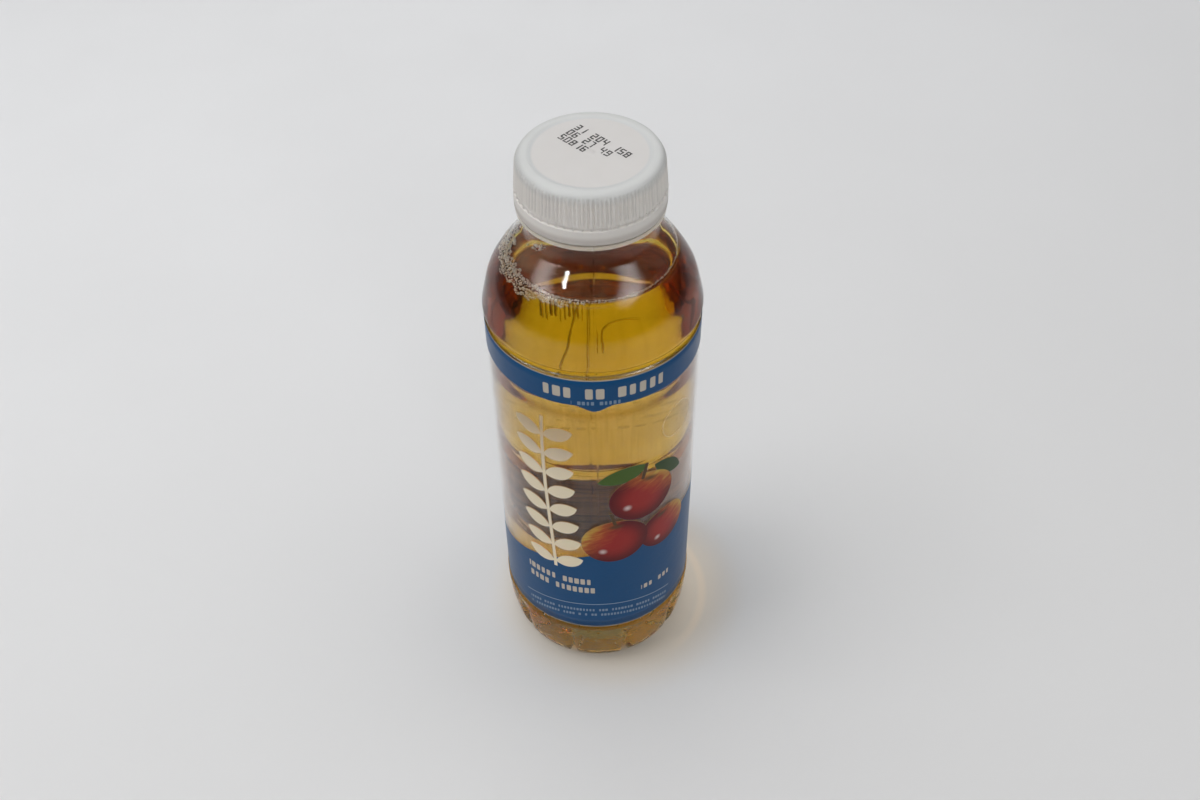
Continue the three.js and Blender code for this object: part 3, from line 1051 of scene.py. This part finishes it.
def floor_material():
    """A pale matt sheet with a fine grain, darker far away, and warm round the bottle with painted light
    and shade
    """
    shade = Shade("floor")
    x, y, _ = shade.place()
    far = shade.combine(x, y - 100.0, 0.0).length().ramp(430.0, 1000.0)
    grain = shade.noise(0.6, 3.0)
    # Painted fall-off of the light: lighter to the back and left, dimmer to the front and right
    slope = (x * 0.45 - y * 0.9).ramp(-420.0, 160.0)
    tone = shade.colour_mix(slope, FLOOR_LIGHT, FLOOR_DIM)
    tone = shade.colour_mix(shade.noise(0.012, 2.0).ramp(0.3, 0.7, 0.0, 0.12), tone, FLOOR_DIM)
    tone = shade.colour_mix(far, tone, FLOOR_FAR)
    halo = shade.combine(x - 6.0, y - 1.0, 0.0).length()
    tone = shade.colour_mix(halo.ramp(24.0, 44.0, 0.58, 0.0), tone, HALO)
    glow = abs(shade.combine(x - 3.0, y, 0.0).length() - GLOW_RADIUS).ramp(0.2, 2.2, 0.3, 0.0)
    tone = shade.colour_mix(glow * (x + y * 0.5).ramp(6.0, 26.0), tone, GLOW)
    # Painted amber light and shade under the bottle
    painted_under = abs(shade.combine(x, y, 0.0).length() - PAINTED_UNDER_RADIUS).ramp(6.0, 10.0, 1.0, 0.0)
    tone = shade.colour_mix(painted_under, tone, PAINTED_UNDER_LIGHT)
    normal = shade.bump(grain, 0.02)
    return shade.finish(shade.add("BsdfPrincipled", Base_Color=tone, Roughness=0.7, Normal=normal))


# Stage

FLOOR_HALF = 2500.0


def make_stage():
    half = FLOOR_HALF
    corners = [(-half, -half, 0), (half, -half, 0), (half, half, 0), (-half, half, 0)]
    floor = new_piece("floor", corners, [(0, 1, 2, 3)], [floor_material()])
    floor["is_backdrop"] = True


def make_camera():
    data = bpy.data.cameras.new("camera")
    data.lens = CAMERA_LENS
    data.sensor_width = 36.0
    data.clip_start = 0.01
    camera = bpy.data.objects.new("camera", data)
    forward = CAMERA_UP.cross(CAMERA_RIGHT)
    turn = Matrix((CAMERA_RIGHT, CAMERA_UP, -forward)).transposed().to_4x4()
    camera.matrix_world = Matrix.Translation(CAMERA_PLACE) @ turn
    bpy.context.scene.collection.objects.link(camera)
    bpy.context.scene.camera = camera


# Lamps: angle from the front, angle above the floor, distance, width, height (m), brightness
LAMPS = {
    "left_top": (-80, 62, 1.3, 0.50, 0.50, 6.1),
    "right_top": (98, 60, 1.4, 0.70, 0.70, 1.6),
    "ceiling": (-150, 70, 1.7, 1.5, 1.3, 1.45),
}
# The same for oval lamps with soft edges that show only in shiny surfaces
GLOWS = {
    "left_window": (-41, 40.0, 1.3, 0.20, 0.07, 170.0),
    "left_glow": (-66, 29, 1.3, 1.1, 0.45, 16.0),
    "right_glow": (50, 33, 1.3, 1.1, 0.5, 19.0),
}
FILL_LAMP = ("front_fill", 6, 28, 1.3, 0.9, 0.6, 2.1)
LAMP_AIM = Vector((0, 0, 0.08))
ROOM_LOW = 0.06
ROOM_HIGH = 0.36


def direction(azimuth, elevation):
    """A unit vector at an angle from the front towards +X and at an angle above the floor"""
    side, up = math.radians(azimuth), math.radians(elevation)
    return Vector((math.sin(side) * math.cos(up), -math.cos(side) * math.cos(up), math.sin(up)))


def make_lamp(name, azimuth, elevation, distance, width, height, brightness):
    """A rectangular lamp that faces the bottle"""
    data = bpy.data.lights.new(name, "AREA")
    data.shape = "RECTANGLE"
    data.size, data.size_y = width, height
    data.energy = brightness * math.pi * width * height
    lamp = bpy.data.objects.new(name, data)
    away = direction(azimuth, elevation)
    lamp.location = LAMP_AIM + away * distance
    lamp.rotation_euler = (-away).to_track_quat("-Z", "Y").to_euler()
    bpy.context.scene.collection.objects.link(lamp)
    return lamp


def make_glow(name, *settings):
    """An oval lamp that fades to its edge and shows only in shiny surfaces"""
    lamp = make_lamp(name, *settings)
    lamp.data.shape = "ELLIPSE"
    lamp.visible_diffuse = False
    lamp.visible_transmission = False
    lamp.data.use_nodes = True
    tree = lamp.data.node_tree
    emission = next(node for node in tree.nodes if node.type == "EMISSION")
    place = Field(tree, tree.nodes.new("ShaderNodeNewGeometry").outputs["Parametric"])
    off = place.vector("SUBTRACT", (0.5, 0.5, 0.0)).vector("MULTIPLY", (2.0, 2.0, 0.0)).length()
    plug(tree, emission.inputs["Strength"], off.ramp(0.1, 1.0, 1.0, 0.0))


def make_light():
    """Lamps in a room that is dim at the horizon and on the camera's side, and brighter above"""
    for name, settings in LAMPS.items():
        make_lamp(name, *settings)
    for name, settings in GLOWS.items():
        make_glow(name, *settings)
    fill = make_lamp(*FILL_LAMP)
    fill.visible_glossy = False
    fill.visible_transmission = False
    world = bpy.data.worlds.new("room")
    bpy.context.scene.world = world
    world.use_nodes = True
    tree = world.node_tree
    tree.nodes.clear()
    way = Field(tree, tree.nodes.new("ShaderNodeTexCoord").outputs["Generated"])
    bright = way.dot((0.0, 0.35, 1.0)).ramp(0.15, 0.95, ROOM_LOW, ROOM_HIGH)
    background = tree.nodes.new("ShaderNodeBackground")
    background.inputs["Color"].default_value = (0.97, 0.99, 1.0, 1)
    plug(tree, background.inputs["Strength"], bright)
    tree.links.new(background.outputs[0], tree.nodes.new("ShaderNodeOutputWorld").inputs["Surface"])


def set_render():
    scene = bpy.context.scene
    scene.view_settings.view_transform = "Standard"
    scene.cycles.max_bounces = 32
    scene.cycles.transmission_bounces = 32
    scene.cycles.transparent_max_bounces = 32
    scene.cycles.glossy_bounces = 8
    scene.cycles.diffuse_bounces = 4
    scene.cycles.caustics_reflective = False
    scene.cycles.caustics_refractive = False


make_camera()
make_light()
make_stage()
set_render()

bottle = make_bottle(plastic_material(), collar_material())
drink = make_drink(juice_material())
froth = make_froth(froth_material())
code = make_code(code_material())
label = make_label(film_material())
cap = make_cap(cap_material())

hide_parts("bottle")
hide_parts("juice")
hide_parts("label_film")
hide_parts("cap")
for clear in (bottle, drink, froth):
    clear.visible_shadow = False
for piece in (bottle, drink, froth, label, cap, code):
    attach(piece, "root")

[[list(corner) for corner in box] for box in (CAD_BOX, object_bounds())]
